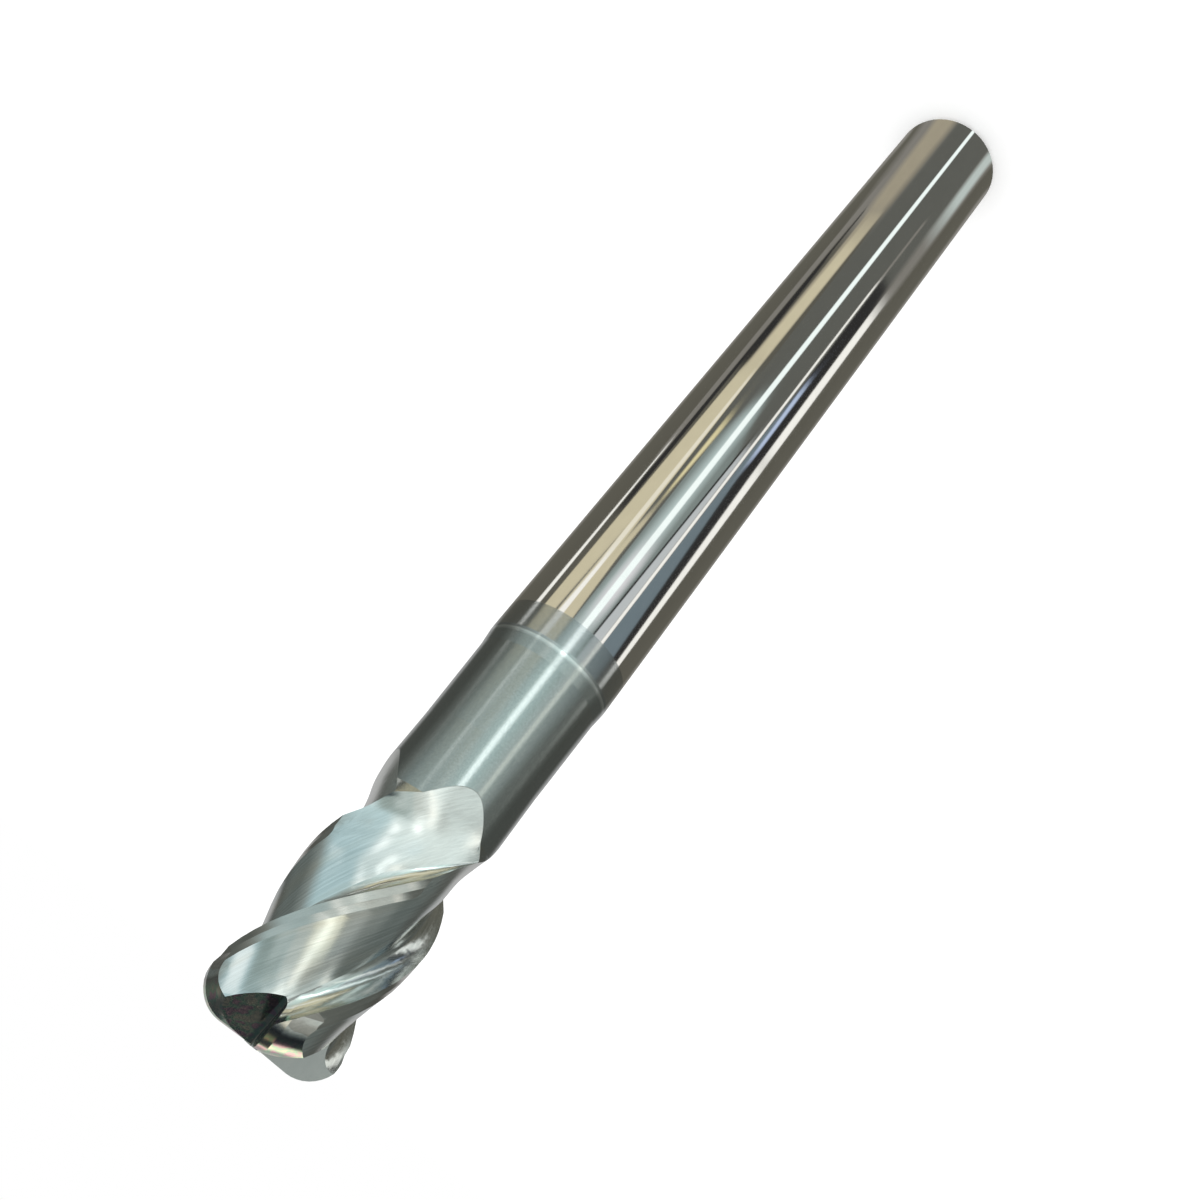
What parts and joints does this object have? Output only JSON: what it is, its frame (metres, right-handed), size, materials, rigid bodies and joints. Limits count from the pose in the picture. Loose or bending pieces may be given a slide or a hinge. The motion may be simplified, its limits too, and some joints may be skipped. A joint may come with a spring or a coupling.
{
  "type": "corner radius end mill",
  "caption": "Solid carbide milling cutter with a plain round shank, relieved neck, steep right-hand helical flutes and rounded corners.",
  "frame": {"origin": "middle of the flat end of the shank, which the cutter stands on", "axes": "+Z along the cutter's axis from the shank to the cutting end; +X and +Y square to it, with the first tooth's edge across the end 3.1 degrees from +X, on the side away from +Y"},
  "size_m": [0.01, 0.01, 0.1],
  "materials": {
    "carbide": "ground and polished tungsten carbide, bare on the shank and thinly coated on the neck and head"
  },
  "bodies": {
    "root": {"end_mill": "carbide"}
  },
  "joints": []
}
